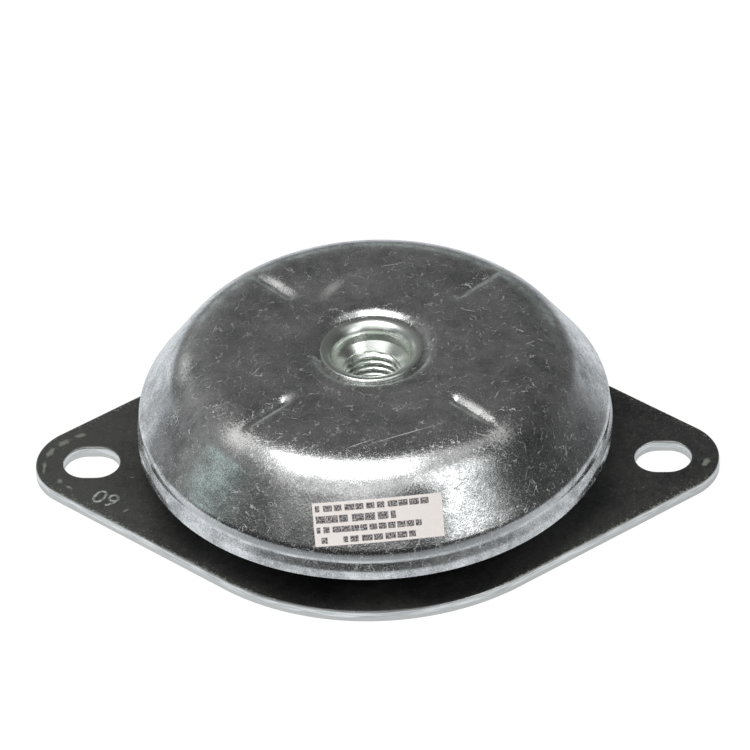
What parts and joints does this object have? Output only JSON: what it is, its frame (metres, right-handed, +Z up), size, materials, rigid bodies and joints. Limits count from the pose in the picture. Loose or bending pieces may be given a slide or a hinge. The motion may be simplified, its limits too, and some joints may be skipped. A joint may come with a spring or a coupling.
{
  "type": "rubber anti-vibration mount",
  "caption": "Covered rubber machinery mount: diamond steel base plate with slotted holes, bonded rubber, pressed steel cover and threaded centre bush with a rebound washer.",
  "frame": {"origin": "on the plate's underside, below the middle of the threaded bush", "axes": "+X along the base plate's length, -Y towards the label, +Z up along the thread's axis"},
  "size_m": [0.219, 0.1514, 0.05],
  "materials": {
    "plate_steel": "dark mill scale steel, bright blanked edge",
    "rubber": "moulded black natural rubber",
    "core_steel": "plain pressed steel",
    "bush_steel": "turned, zinc plated",
    "washer_steel": "zinc plated",
    "cover_steel": "pressed, bright zinc plated, handled",
    "label_paper": "matt coated paper with plain grey bars"
  },
  "bodies": {
    "base": {"base_plate": "plate_steel", "rubber": "rubber"},
    "top": {"core_plate": "core_steel", "threaded_bush": "bush_steel", "rebound_washer": "washer_steel", "dome_cover": "cover_steel", "label": "label_paper"}
  },
  "joints": [
    {"name": "deflection", "type": "slide", "parent": "base", "child": "top", "axis": [0, 0, 1], "range_m": [-0.006, 0.002], "stiffness_N_per_m": 1000000, "deforming": ["rubber"]}
  ]
}
